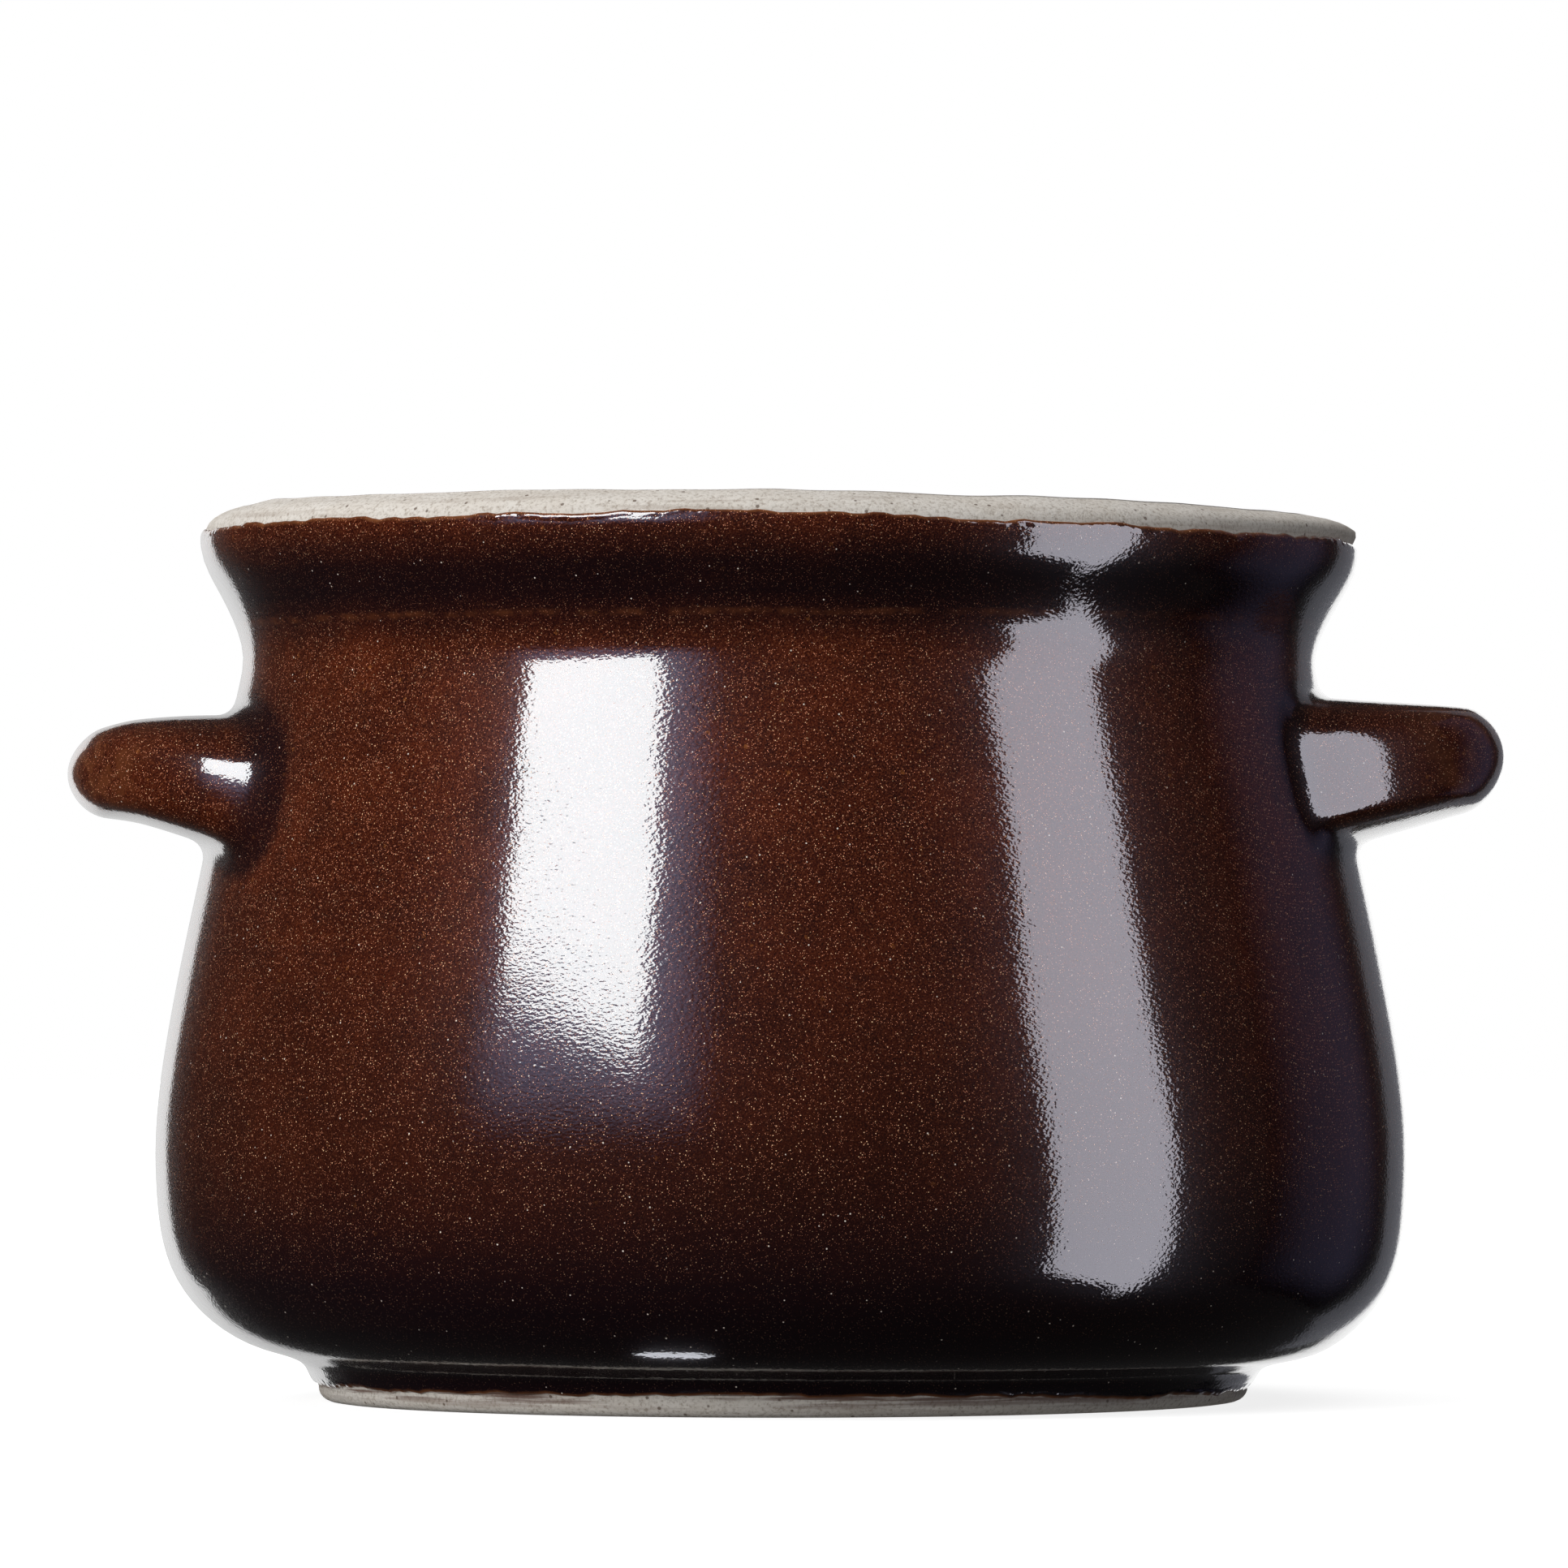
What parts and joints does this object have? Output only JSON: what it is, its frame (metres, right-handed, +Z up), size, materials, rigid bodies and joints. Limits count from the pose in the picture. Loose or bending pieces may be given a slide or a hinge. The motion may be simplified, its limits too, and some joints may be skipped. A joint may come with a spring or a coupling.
{
  "type": "stoneware pot",
  "caption": "Round-bellied stoneware cooking pot with a flared rim, a turned foot and solid ear handles, brown glaze inside and out and a bare clay lip and foot.",
  "frame": {"origin": "centre of the foot's resting plane, under the middle of the pot", "axes": "+X from the left ear to the right ear as the picture shows them, +Z up out of the mouth, -Y towards the viewer"},
  "size_m": [0.1988, 0.173, 0.123],
  "materials": {
    "bare_clay": "unglazed fired stoneware, sandy with dark iron specks",
    "clay_slip": "fired slip",
    "brown_glaze": "glossy brown glaze with fine amber specks"
  },
  "bodies": {
    "root": {"stoneware_body": "bare_clay", "left_handle": "bare_clay", "right_handle": "bare_clay", "left_handle_slip": "clay_slip", "right_handle_slip": "clay_slip", "outer_glaze": "brown_glaze", "inner_glaze": "brown_glaze"}
  },
  "joints": []
}
